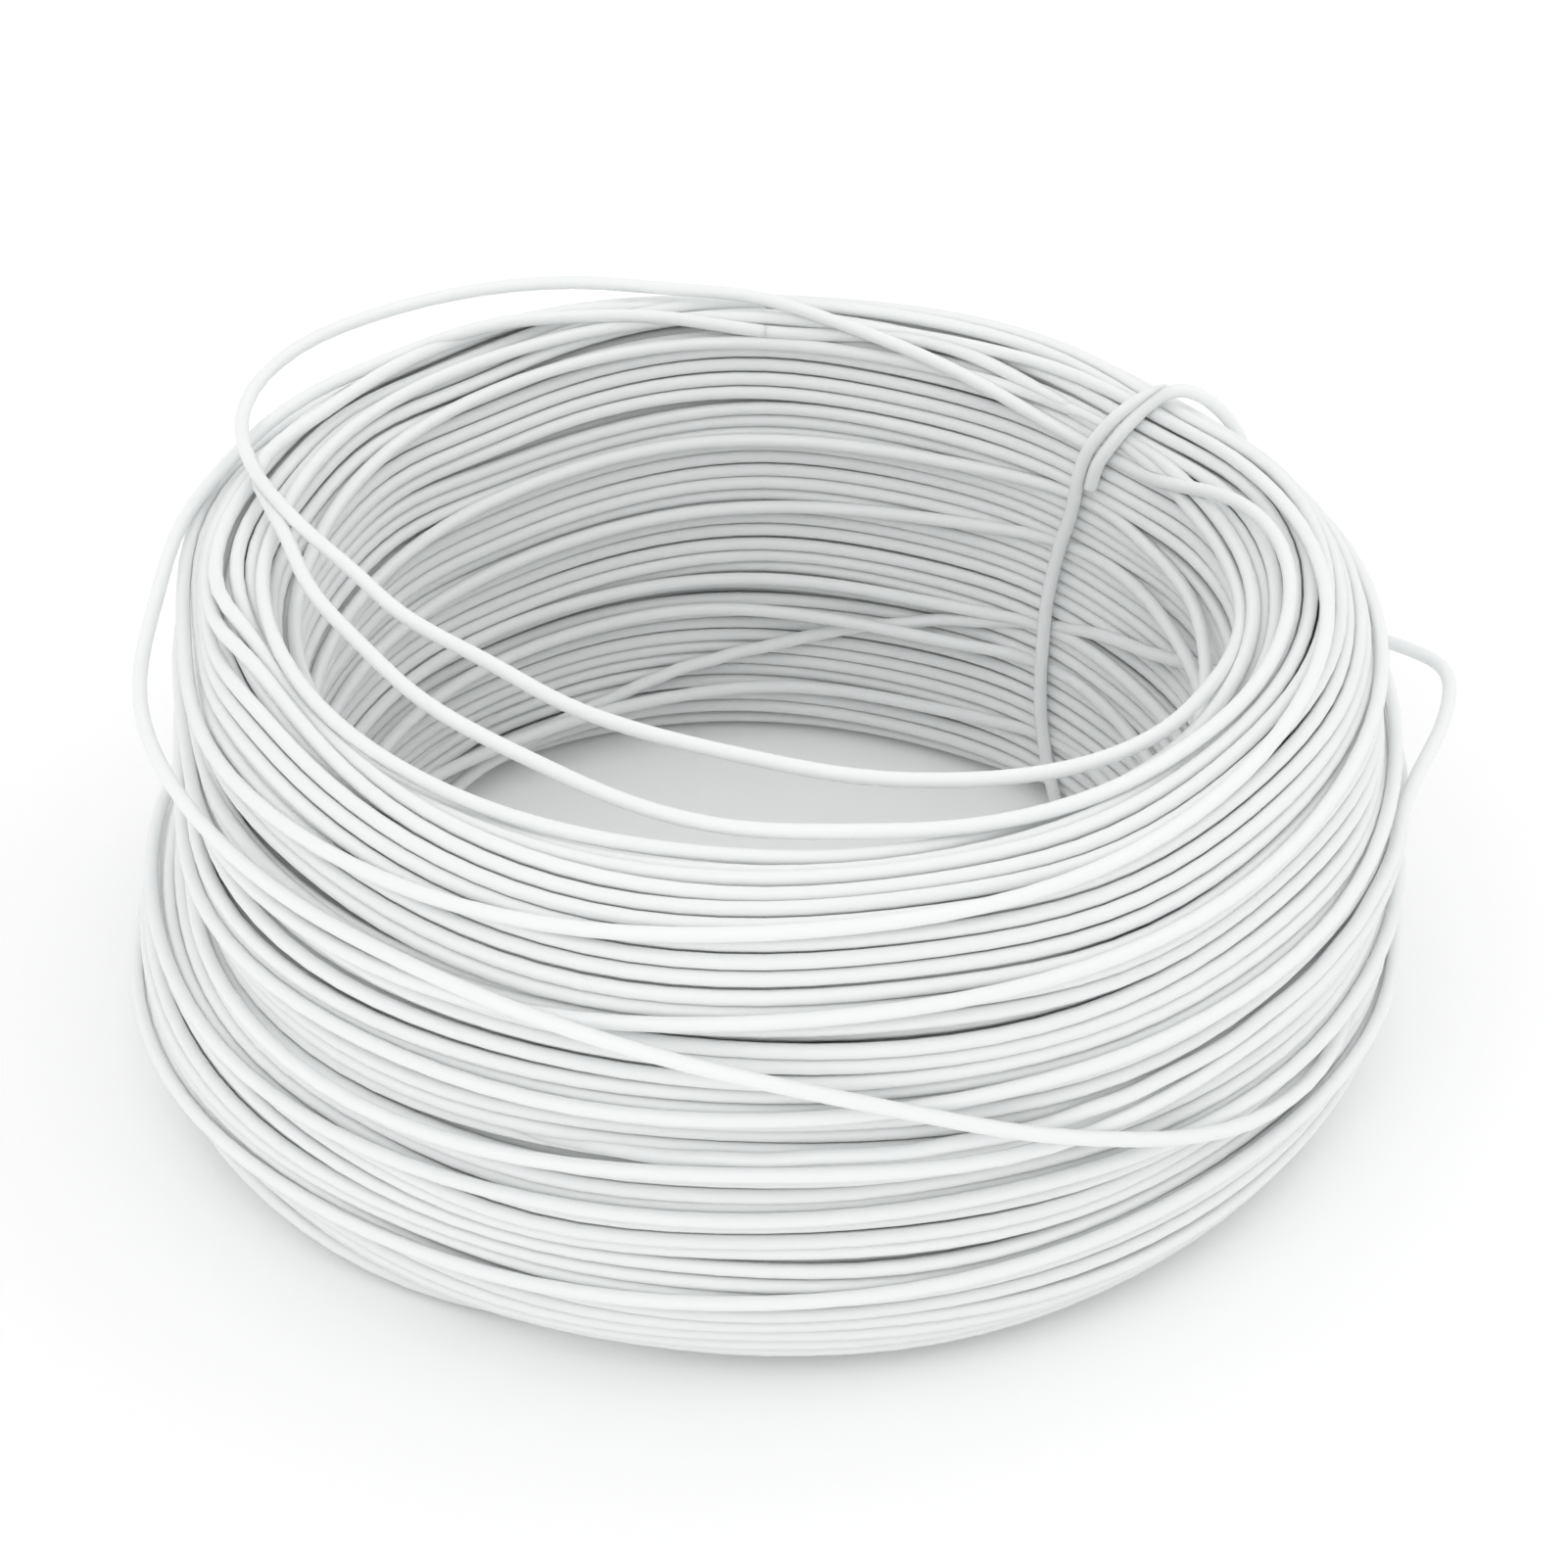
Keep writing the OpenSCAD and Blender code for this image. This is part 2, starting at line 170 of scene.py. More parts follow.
# Azimuth, place across the bundle as in the frame's loops, and rise over the top turns in wires
LOOSE_TABLE = [
    (105, 1, 0), (135, 0.99, 0), (150, 0.97, 0.07), (165, 0.8, 0.2), (180, 0.26, 0.57),
    (203, -0.072, 0.8), (223, -0.076, 0.86), (240, -0.054, 0.86), (260, 0.19, 0.64), (280, 0.7, 0.36),
    (297, 0.86, 0.07), (330, 0.83, 0), (360, 0.79, 0), (402, 0.71, 0), (425, 0.73, 0.36),
    (440, 0.86, 1.3), (450, 1.02, 1.5), (459, 1.27, 1.5), (473, 1.66, 1.45), (490, 1.98, 1.3),
    (500, 2.03, 1.15), (508, 1.88, 1.15), (514, 1.66, 1.35), (526, 1.02, 1.8), (536, 0.06, 1.65),
    (546, -0.115, 1.3), (561, -0.216, 1), (578, -0.297, 0.86), (600, -0.276, 0.86),
    (627, -0.196, 0.86), (647, -0.074, 0.7), (668, 0.26, 0.36), (680, 0.41, 0.14), (692, 0.41, 0),
    (715, 0.24, 0), (762, 0.43, 0), (790, 0.46, 0.07), (810, 0.5, 0.2),
]
# Azimuth, and how far the loops settle in and down: at the back they lie on the rim of the eye
LOOSE_SETTLE = [
    (150, 0, 0), (165, -1.5, 0), (180, 0.2, 0), (260, 0.7, 0), (280, 1.6, 0), (315, 0, 0), (360, 0, 0),
    (402, 2.4, 4.3), (425, 2.9, 2.3), (440, 2.4, 2.0), (450, 2.1, 0.9), (459, 3.4, 0), (473, 1.1, 0),
    (514, 0.9, 0), (536, -0.2, 0), (578, -1.2, 0), (627, 0, 0), (647, 0.5, 0.1), (668, 1.1, -2.1),
    (680, 1.4, -3.7), (692, 1.7, -2.4), (715, 0.3, -3.6), (762, -0.5, -0.5), (790, -1.5, -3.1),
    (810, -0.1, -2),
]
# Azimuth, radius and height of the strand that bows out at the left and crosses the front
CROSSING_TABLE = [
    (105, 49.6, 51.0), (120, 52.8, 51.4), (135, 56.3, 50.3), (150, 60.1, 48.4), (165, 62.8, 45.8),
    (180, 64.3, 43.3), (195, 65.3, 42.6), (210, 65.2, 42.9), (225, 64.2, 44.2), (240, 64.1, 43.6),
    (255, 65.0, 41.4), (270, 65.5, 38.0), (285, 65.5, 32.0), (297, 65.5, 26.1), (304, 65.5, 22.9),
    (311, 65.5, 20.2), (318, 64.6, 18.4), (325, 63.6, 17.4), (336, 62.0, 16.6),
]
# Azimuth, and how far the bundle's own waist draws that strand in and down
CROSSING_SETTLE = [
    (105, 1.0, 0.2), (120, 2.5, 0.7), (135, 3.9, 1.3), (150, 4.0, 0.9), (165, 4.5, -0.1),
    (180, 6.0, -1.2), (195, 5.4, -0.2), (210, 5.0, 0.9), (225, 4.1, 3.1), (240, 3.4, 2.9),
    (255, 2.6, 1.7), (270, 2.0, 1.4), (285, 2.0, 0.9), (297, 2.0, 0.3), (311, 2.0, 0.5),
    (336, 2.0, 0.6),
]

# ---- the kinked turn: azimuths of its ends, its height and climb, and the kink's reach ----
KINK_TURN = (-120.0, 150.0)
KINK_LOW, KINK_CLIMB = 26.0, 8.0
KINK_REACH = 8.6
KINK_PARTS = 5
# Azimuth and share of the kink's reach
KINK_TABLE = [
    (-30, 0), (-12, 0.02), (-7, 0.17), (-2, 0.45), (3, 0.75), (7, 0.95), (9.5, 1), (11.5, 0.88),
    (13, 0.62), (15.5, 0.28), (19, 0.05), (24, 0),
]

# ---- the strand that climbs the wall of the eye at the back: azimuth and height ----
EYE_STRAND = [
    (-8, 38.0), (8, 32.4), (24, 26.8), (40, 22.7), (53, 19.9), (65, 17.7), (76, 15.3), (87, 12.7),
    (100, 10.1), (111, 7.4), (124, 5.4), (140, 3.0), (158, 1.8), (172, 1.0),
]
EYE_PARTS = 2
EYE_WALL_WIDTH = 6.0

# ---- the tie ----
CORE_D = 0.5
CORE_PROUD = 0.06
TIE_PARTS = 6
# Azimuth, radius and height of the end that stops on the crown, the leg in the eye, the stretch under
# the bundle (azimuth and radius), the leg outside, and the end that is cut off inside the rim
TIE_CROWN_END = [
    (37.5, 51.8, 50.3), (38.2, 50.2, 50.1), (38.9, 48.7, 49.4), (40.0, 47.0, 48.0), (41.1, 45.7, 46.1),
    (42.2, 44.8, 43.9), (43.0, 44.3, 40.8), (43.4, 44.3, 38.4),
]
TIE_INNER_LEG = [
    (44.1, 44.3, 35.6), (45.3, 44.3, 32.4), (46.4, 44.1, 28.0), (46.8, 43.7, 23.9), (46.5, 43.2, 20.0),
    (46.0, 42.6, 16.4), (45.2, 42.1, 12.9), (44.0, 41.7, 9.8), (42.4, 41.3, 6.9), (40.8, 41.1, 4.4),
    (39.8, 41.4, 2.2),
]
TIE_UNDER = [(39.4, 42.9), (39.2, 45.4), (38.8, 48.5), (38.0, 52.5), (36.8, 56.5), (35.5, 59.3)]
TIE_OUTER_LEG = [
    (34.3, 61.5, 2.0), (33.7, 63.0, 5.0), (33.3, 63.7, 10.0), (33.1, 63.6, 18.0), (33.1, 63.1, 26.0),
    (33.2, 62.2, 33.0), (33.3, 61.0, 38.5), (33.6, 59.7, 42.5),
]
TIE_CUT_END = [
    (33.8, 58.6, 45.0), (34.1, 57.3, 46.9), (34.5, 56.0, 48.4), (35.1, 54.4, 49.8), (36.0, 52.8, 50.5),
    (36.9, 51.2, 50.3), (37.7, 49.4, 49.2), (38.5, 47.4, 47.3), (39.4, 45.9, 45.2), (40.5, 45.0, 42.8),
    (41.2, 44.7, 40.0),
]

# ---- the stage, in metres ----
CAMERA_PLACE = (0.0, -0.2982, 0.2274)
CAMERA_AIM = (0.00191, 0.0, 0.02306)
CAMERA_ROLL = math.radians(0.24)
FLOOR_HALF = 6.0
FLOOR_GLOW = 0.07
LAMP_SIZE = 1.2
KEY_PLACE = (-0.35, -0.95, 0.95)
FILL_PLACE = (0.9, 0.3, 1.0)
LAMP_AIM = (0, 0, 0.02)

# ---- sockets of the Mix node ----
MIX_SHARE, MIX_LEVEL_A, MIX_LEVEL_B, MIX_COLOUR_A, MIX_COLOUR_B = 0, 2, 3, 6, 7
MIX_LEVEL_OUT, MIX_COLOUR_OUT = 0, 2


def smoothstep(low, high, value):
    t = np.clip((value - low) / (high - low), 0.0, 1.0)
    return t * t * (3 - 2 * t)


def angle_off(theta, centre):
    """Signed difference in degrees between azimuths, from -180 to 180."""
    return (np.degrees(theta) - centre + 180.0) % 360.0 - 180.0


def swell(theta, centre, spread):
    """One at an azimuth in degrees, falling off over the spread to both sides of it."""
    return np.exp(-(angle_off(theta, centre) / spread) ** 2)


def bell(reach):
    """Weights of a smooth mean over so many neighbours to both sides."""
    weights = np.exp(-0.5 * (np.arange(-reach, reach + 1) / (0.5 * reach)) ** 2)
    return weights / weights.sum()


def wave(rng, phase, slow, fast, count):
    """A smooth random curve along the wire, of unit spread; slow and fast are cycles to a turn."""
    total = np.zeros_like(phase)
    for rate in np.linspace(slow, fast, count):
        rate = rate * rng.uniform(*RATE_SPREAD)
        total += np.sin(phase * rate + rng.uniform(0, 2 * np.pi))
    return total * math.sqrt(2.0 / count)


def turn_phase(count, stations=STATIONS):
    """Angle turned through at each of so many stations along the wire, in radians."""
    return np.arange(count) * 2 * np.pi / stations


def distances(points):
    """Distance along a line of each of its points from the first."""
    step = np.linalg.norm(np.diff(points, axis=0), axis=1)
    return np.concatenate([[0], np.cumsum(step)])


def cubic(before, slope_before, after, slope_after, u):
    """A smooth curve from one point to the next, read at a share of the way."""
    return ((2 * u ** 3 - 3 * u ** 2 + 1) * before + (u ** 3 - 2 * u ** 2 + u) * slope_before
            + (3 * u ** 2 - 2 * u ** 3) * after + (u ** 3 - u ** 2) * slope_after)


def finer(points, parts):
    """The same route with each stretch in so many parts, on a smooth curve through its points."""
    count = len(points)
    read = np.linspace(0, count - 1, (count - 1) * parts + 1)
    slope = np.gradient(points, axis=0)
    i = np.minimum(read.astype(int), count - 2)
    return cubic(points[i], slope[i], points[i + 1], slope[i + 1], (read - i)[:, None])


def around(azimuth, radius, height):
    turn = math.radians(azimuth)
    return np.array([radius * math.cos(turn), radius * math.sin(turn), height])


def smooth_route(rows, step):
    """A smooth curve through rows of azimuth, radius and height: the same, every step degrees."""
    rows = np.array(rows, float)
    azimuth = rows[:, 0]
    read = np.arange(azimuth[0], azimuth[-1] + step / 2, step)
    read[-1] = azimuth[-1]
    slope = np.gradient(rows[:, 1:], azimuth, axis=0)
    i = np.clip(np.searchsorted(azimuth, read, side="right") - 1, 0, len(azimuth) - 2)
    width = (azimuth[i + 1] - azimuth[i])[:, None]
    u = (read[:, None] - azimuth[i][:, None]) / width
    radius, height = cubic(rows[i, 1:], width * slope[i], rows[i + 1, 1:], width * slope[i + 1], u).T
    return read, radius, height


def arc(centre, reach, start, stop, count=24):
    """Points of an arc of an ellipse with its axes along the section's."""
    angles = np.radians(np.linspace(start, stop, count))
    return np.stack([centre[0] + reach[0] * np.cos(angles), centre[1] + reach[1] * np.sin(angles)], 1)


def section_outline(depth):
    """Closed outline of the bundle's section, so many layers deep, from the bottom outwards and round."""
    inset = depth * LAYER_STEP
    inner = EYE_R + TOP_DEPTH + inset
    outer = COIL_R - SKIN_DEPTH - inset
    top = COIL_H - TOP_DEPTH - inset
    low = FLOOR_CLEARANCE + inset
    foot = max(FOOT_R - inset, LEAST_FOOT_R)
    eye_foot = max(EYE_FOOT_R - inset, LEAST_EYE_FOOT_R)
    crown = min(max(CROWN_R, inner + LEAST_RUN), outer - BARREL_LEAN - LEAST_RUN)
    shoulder_fall = min(SHOULDER_FALL - inset, top - low - foot - LEAST_RUN)
    points = np.concatenate([
        arc((outer - foot, low + foot), (foot, foot), -90, 0),
        arc((crown, top - shoulder_fall), (outer - BARREL_LEAN - crown, shoulder_fall), 0, 90, 40),
        arc((crown, top - RIM_FALL), (crown - inner, RIM_FALL), 90, 180, 30),
        arc((inner + eye_foot, low + eye_foot), (eye_foot, eye_foot), 180, 270),
    ])
    points = np.concatenate([points, points[:1]])
    along = distances(points)
    fine = np.linspace(0, along[-1], int(along[-1] / OUTLINE_STEP) + 1)
    return np.stack([np.interp(fine, along, points[:, 0]), np.interp(fine, along, points[:, 1])], 1)


def settle(points, theta):
    """The bundle's own unevenness: the dent under the tie, the waist at the left, slow waves."""
    radius, height = points[:, 0].copy(), points[:, 1].copy()
    outward = smoothstep(*OUTWARD_BAND, radius)
    lean = EYE_LEAN + EYE_LEAN_X * math.cos(theta) + EYE_LEAN_Y * math.sin(theta)
    radius -= lean * (1 - outward) * (1 - smoothstep(0, EYE_LEAN_TOP, height))
    upper = smoothstep(*UPPER_BAND, height)
    tie = swell(theta, TIE_AZ, TIE_SPREAD)
    radius += tie * TIE_DRAW * (1 - 2 * outward)
    height -= tie * TIE_DENT * upper
    height += tie * TIE_RAISE * (1 - smoothstep(*TIE_RAISE_BAND, height))
    waist = WAIST_DEPTH * swell(theta, WAIST_AZ, WAIST_SPREAD)
    pinch = smoothstep(*WAIST_BAND, height) * (1 - WAIST_EASE * smoothstep(*WAIST_EASE_BAND, height))
    radius -= waist * pinch * outward
    hollow = HOLLOW_DEPTH * swell(theta, HOLLOW_AZ, HOLLOW_SPREAD)
    radius -= hollow * outward * (1 - smoothstep(*HOLLOW_BAND, height))
    flat = swell(theta, FLAT_AZ, FLAT_SPREAD)
    radius -= flat * outward * (FLAT_DEPTH + FLAT_UPPER * upper)
    slow = SLOW_WAVE * np.sin(3 * theta + height * SLOW_TWIST)
    quick = QUICK_WAVE * np.sin(7 * theta - height * QUICK_TWIST)
    radius += outward * (slow + quick)
    height += TOP_WAVE * np.sin(2 * theta + TOP_WAVE_START) * smoothstep(*TOP_BAND, height)
    height += RISE_HEIGHT * swell(theta, RISE_AZ, RISE_SPREAD) * upper
    return np.stack([radius, height], 1)


class Bundle:
    """The bundle's outline at each station round the coil, and the wire laid on it so far."""

    def __init__(self, stations, depth):
        self.stations = stations
        self.theta = np.arange(stations) * 2 * np.pi / stations
        self.lines = []
        outline = section_outline(depth)
        for theta in self.theta:
            points = settle(outline, theta)
            tangent = np.gradient(points, axis=0)
            tangent /= np.linalg.norm(tangent, axis=1)[:, None]
            normal = np.stack([tangent[:, 1], -tangent[:, 0]], 1)
            self.lines.append((distances(points), points, normal))
        self.length = np.array([line[0][-1] for line in self.lines])
        self.laid = [[] for _ in range(stations)]
        self.filled = [[] for _ in range(stations)]
        self.tie_place, self.tie_azimuth = self.tie_line()

    def station_at(self, azimuth):
        return int(round(azimuth / 360 * self.stations)) % self.stations

    def span(self, first, last):
        """Stations from one azimuth to another; a negative azimuth gives negative ones."""
        return np.arange(int(first / 360 * self.stations), int(last / 360 * self.stations))

    def tie_line(self):
        """Where the tie goes round the section: its place along the outline, and its azimuth there."""
        rows = []
        for azimuth, radius, height in TIE_INNER_LEG + TIE_OUTER_LEG + TIE_CUT_END:
            along, points, _ = self.lines[self.station_at(azimuth)]
            nearest = np.argmin(np.hypot(points[:, 0] - radius, points[:, 1] - height))
            rows.append((along[nearest] / along[-1], azimuth))
        return np.array(sorted(rows)).T

    def pressed(self, place, lift, start=0):
        """The same lift, held down where the strand passes under the tie."""
        station = (np.arange(len(place)) + start) % self.stations
        share = (place % self.length[station]) / self.length[station]
        tie_azimuth = np.interp(share, self.tie_place, self.tie_azimuth)
        return lift * (1 - TIE_HOLD * swell(self.theta[station], tie_azimuth, TIE_REACH))

    def hold(self, place, lift, start=0):
        """Keep a strand that has been laid, so that later ones lie over it."""
        radius, height = self.point(np.arange(len(place)) + start, place, lift)
        for k in range(len(place)):
            station = (start + k) % self.stations
            self.laid[station].append((place[k], lift[k]))
            self.filled[station].append((radius[k], height[k]))

    def laid_at(self, station):
        """Places and lifts of the wires held at a station."""
        rows = np.array(self.laid[station]) if self.laid[station] else np.zeros((0, 2))
        return rows[:, 0], rows[:, 1]

    def point(self, index, place, lift):
        """Radius and height of the wire at a run of stations."""
        radius = np.empty(len(index))
        height = np.empty(len(index))
        for i, k in enumerate(index):
            along, points, normal = self.lines[k % self.stations]
            s = place[i] % along[-1]
            radius[i] = np.interp(s, along, points[:, 0]) + lift[i] * np.interp(s, along, normal[:, 0])
            height[i] = np.interp(s, along, points[:, 1]) + lift[i] * np.interp(s, along, normal[:, 1])
        return radius, height

    def place_at(self, station, height, inside=False):
        """Place on the outer wall at a height, or on the wall of the eye."""
        along, points, _ = self.lines[station % self.stations]
        rows = np.nonzero((points[:, 0] > EYE_R + EYE_WALL_WIDTH) != inside)[0]
        return float(along[rows[np.argmin(np.abs(points[rows, 1] - height))]])

    def route(self, place, lift, start=0):
        """Points of the wire, none of them lower than the floor lets it lie."""
        index = np.arange(len(place)) + start
        radius, height = self.point(index, place, lift)
        height = np.maximum(height, WIRE / 2)
        theta = self.theta[index % self.stations]
        return np.stack([radius * np.cos(theta), radius * np.sin(theta), height], 1)


def side_by_side(bundle, rng, turns, gap, spread, restless, cling):
    """Where a layer lies along the outline: turn beside turn, with gaps that open and close."""
    stations = bundle.stations
    total = turns * stations
    phase = turn_phase(total, stations)
    share = np.arange(total) / total
    target = share * np.resize(bundle.length, total)
    pitch = bundle.length.mean() / turns / WIRE - 1
    slack = pitch + spread * wave(rng, phase, *DRIFT_WAVES)
    slack += RIPPLE_SHARE * spread * wave(rng, phase, *RIPPLE_WAVES)
    opened = np.zeros(total)
    for _ in range(int(gap * turns)):
        centre = rng.uniform(0, total)
        width = stations * rng.uniform(*GAP_WIDTH)
        opened += rng.uniform(*GAP_OPEN) * np.exp(-((np.arange(total) - centre) / width) ** 2)
    place = target.copy()
    for k in range(stations, total):
        behind = (target[k] - place[k - stations]) / WIRE - 1 - pitch
        step = slack[k] + restless * behind
        place[k] = place[k - stations] + WIRE * (1 + max(step, cling) + opened[k])
    return place


def smoothed(need, reach):
    """Lift of a stiff wire that has to clear the lifts it needs: never lower, and smooth."""
    padded = np.pad(need, 2 * reach, mode="edge")
    windows = np.lib.stride_tricks.sliding_window_view(padded, 2 * reach + 1)
    return np.convolve(windows.max(axis=1), bell(reach), mode="valid")


def lift_over(place, beside, lifts, length):
    """Least lift of a wire at a place over the wires beside it, all at one station."""
    off = np.abs(beside - place) % length
    off = np.minimum(off, length - off)
    near = off < WIRE
    if not near.any():
        return 0.0
    return float((lifts[near] + np.sqrt(WIRE ** 2 - off[near] ** 2)).max())


def settle_turns(bundle, place, bed=None, start=0, reach=3):
    """Lift of each station of a strand over all that the bundle holds, and over its own last turns."""
    stations = bundle.stations
    total = len(place)
    bed = np.zeros(total) if bed is None else bed
    lift = np.zeros(total)
    need = np.zeros(total)
    margin = 2 * reach
    block = stations // 2
    for first in range(0, total, block):
        low = max(first - margin, 0)
        high = min(first + block + margin, total)
        for k in range(low, high):
            station = (start + k) % stations
            beside, lifts = bundle.laid_at(station)
            back = np.arange(k - stations, max(k - LOOKS_BACK * stations, 0) - 1, -stations)
            back = back[back >= 0]
            beside = np.concatenate([beside, place[back]])
            lifts = np.concatenate([lifts, lift[back]])
            need[k] = max(bed[k], lift_over(place[k], beside, lifts, bundle.length[station]))
        last = min(first + block, total)
        lift[first:last] = smoothed(need[low:high], reach)[first - low:last - low]
    return lift


def tucked_in(lift):
    """The same lift with both ends led down into the bundle."""
    fade = 1 - smoothstep(0, 1, np.linspace(0, 1, TUCK_STATIONS))
    lift = lift.copy()
    lift[:TUCK_STATIONS] -= TUCK_DEPTH * fade
    lift[-TUCK_STATIONS:] -= TUCK_DEPTH * fade[::-1]
    return lift


def core_strands(rng):
    """The turns that fill the bundle, as name, points, roundness and the solids they stand for."""
    strands = []
    for name, depths in CORE_LAYERS:
        layers = []
        for depth in depths:
            layer = Bundle(CORE_STATIONS, depth)
            turns = int(layer.length.mean() / (WIRE * CORE_PITCH))
            place = side_by_side(layer, rng, turns, gap=0, spread=0.02, restless=0.02, cling=-0.02)
            layers.append(layer.route(place, np.zeros(len(place))))
        strands.append((name, np.concatenate(layers), HIDDEN, ["packed_turns"]))
    return strands


def under_turns(rng, turns):
    """Points of the layer below the one that shows."""
    layer = Bundle(STATIONS, 1)
    place = side_by_side(layer, rng, turns, gap=0.1, spread=0.06, restless=0.02, cling=-0.03)
    return layer.route(place, settle_turns(layer, place))


def outer_turns(bundle, rng, turns):
    """Points of the layer that shows."""
    place = side_by_side(bundle, rng, turns, gap=1.0, spread=0.045, restless=0.03, cling=-0.03)
    bed = BED_LIFT + BED_SWELL * wave(rng, turn_phase(len(place)), *BED_WAVES)
    lift = bundle.pressed(place, settle_turns(bundle, place, np.maximum(bed, 0)))
    bundle.hold(place, lift)
    return bundle.route(place, tucked_in(lift))


def stray_turns(bundle, rng, turns):
    """Points of the turns that wander over the outer layer from the foot to the wall of the eye."""
    total = turns * STATIONS
    climb = np.linspace(STRAY_FROM, STRAY_TO, total)
    climb += STRAY_SWAY * wave(rng, turn_phase(total), *STRAY_WAVES)
    place = climb * np.resize(bundle.length, total)
    lift = bundle.pressed(place, settle_turns(bundle, place, reach=4))
    bundle.hold(place, lift)
    return bundle.route(place, tucked_in(lift))


def laid_strand(bundle, stations, height, parts, inside=False):
    """Points of a strand laid on a wall of the bundle, at a height for each station."""
    start = int(stations[0])
    place = np.array([bundle.place_at(k, z, inside) for k, z in zip(stations, height)])
    lift = bundle.pressed(place, settle_turns(bundle, place, start=start), start)
    bundle.hold(place, lift, start)
    return finer(bundle.route(place, tucked_in(lift), start), parts)


def kinked_turn(bundle):
    """Points of a turn at the right that was bent over once, and stands off the bundle there."""
    stations = bundle.span(*KINK_TURN)
    height = KINK_LOW + KINK_CLIMB * np.linspace(0, 1, len(stations))
    points = laid_strand(bundle, stations, height, KINK_PARTS)
    azimuth = np.degrees(np.arctan2(points[:, 1], points[:, 0]))
    at, share = np.array(KINK_TABLE).T
    reach = KINK_REACH * np.interp(azimuth, at, share)
    reach = np.convolve(reach, bell(4), mode="same")
    out = points[:, :2] / np.linalg.norm(points[:, :2], axis=1)[:, None]
    points[:, :2] += out * reach[:, None]
    return points


def eye_strand(bundle):
    """Points of the strand that climbs across the wall of the eye at the back."""
    azimuth, height = np.array(EYE_STRAND).T
    stations = bundle.span(azimuth[0], azimuth[-1])
    at = np.interp(stations * 360 / bundle.stations, azimuth, height)
    return laid_strand(bundle, stations, at, EYE_PARTS, inside=True)


def across(place):
    """Radius of a place across the bundle: 0 the wall of the eye, 1 the top turn, 2 the widest turn."""
    crown_r = EYE_R + CROWN_INSET
    if place < 0:
        return EYE_R * (1 + place)
    if place < 1:
        return EYE_R + place * CROWN_INSET
    return crown_r + (place - 1) * (TURN_R - crown_r)


def laid_on_top(bundle, rows):
    """Rows of azimuth, radius and height, brought down on the bundle's top where they lie on it."""
    laid = []
    for azimuth, radius, height in rows:
        _, points, _ = bundle.lines[bundle.station_at(azimuth)]
        upper = points[points[:, 1] > COIL_H / 2]
        nearest = upper[np.argmin(np.abs(upper[:, 0] - radius))]
        on_top = min(nearest[1] + LIES_OVER, height)
        risen = smoothstep(*FREE_BAND, height - CROWN_Z)
        over_eye = smoothstep(*EYE_EDGE_BAND, EYE_R - radius)
        free = max(float(risen), float(over_eye))
        laid.append((azimuth, radius, height * free + on_top * (1 - free)))
    return laid


def settled(rows, table, turn=0):
    """Rows of azimuth, radius and height, drawn in and down as a table says, and turned on."""
    at, inward, down = np.array(table).T
    return [(a + turn, r - np.interp(a, at, inward), z - np.interp(a, at, down)) for a, r, z in rows]


def cleared(bundle, azimuth, radius, height):
    """Push a loose strand out of the wire that the bundle holds: up on the top, outwards on the wall."""
    tilt = np.radians(90 * smoothstep(*SHOULDER_BAND, height))
    rise = np.maximum(height - (COIL_H - TOP_DEPTH - RIM_FALL), LEAST_RISE) / RIM_FALL ** 2
    inwards = (CROWN_R - radius) / (CROWN_R - EYE_R - TOP_DEPTH) ** 2
    tilt = np.where(radius < CROWN_R, math.pi / 2 + np.arctan2(inwards, rise), tilt)
    push = np.zeros(len(azimuth))
    for i, (az, r, z) in enumerate(zip(azimuth, radius, height)):
        off = np.array([r, z]) - np.array(bundle.filled[bundle.station_at(az)])
        ahead = off @ np.array([math.cos(tilt[i]), math.sin(tilt[i])])
        aside = np.abs(off @ np.array([-math.sin(tilt[i]), math.cos(tilt[i])]))
        near = (aside < WIRE) & (ahead > DEEPEST)
        if near.any():
            push[i] = max((np.sqrt(WIRE ** 2 - aside[near] ** 2) - ahead[near]).max(), 0)
    push = smoothed(push, 3)
    push *= 1 - TIE_HOLD * swell(np.radians(azimuth), TIE_CROWN_AZ, TIE_REACH)
    return radius + push * np.cos(tilt), height + push * np.sin(tilt)


def loose_wire(bundle):
    """The two loose loops and the strand that follows them across the front, cut where it crosses."""
    rows = [(JOINT_AZ, EYE_R + CROWN_INSET, CROWN_Z)]
    rows += [(a, across(place), CROWN_Z + rise * WIRE) for a, place, rise in LOOSE_TABLE]
    rows = settled(laid_on_top(bundle, rows), LOOSE_SETTLE)
    rows += settled(CROSSING_TABLE, CROSSING_SETTLE, turn=LAP)
    azimuth, radius, height = smooth_route(rows, LOOSE_STEP)
    radius, height = cleared(bundle, azimuth, radius, height)
    start, end = azimuth[0], azimuth[-1]
    height -= TUCK_DEPTH * (1 - smoothstep(start, start + START_TUCK_RUN, azimuth))
    height -= DIVE_DEPTH * (smoothstep(*DIVE_DOWN, azimuth) - smoothstep(*DIVE_UP, azimuth))
    radius -= TUCK_DEPTH * smoothstep(end - END_TUCK_RUN, end, azimuth)
    points = np.array([around(a, r, z) for a, r, z in zip(azimuth, radius, height)])
    joint = int(np.searchsorted(azimuth, JOINT_AZ + LAP))
    return points[:joint + 1], points[joint:]


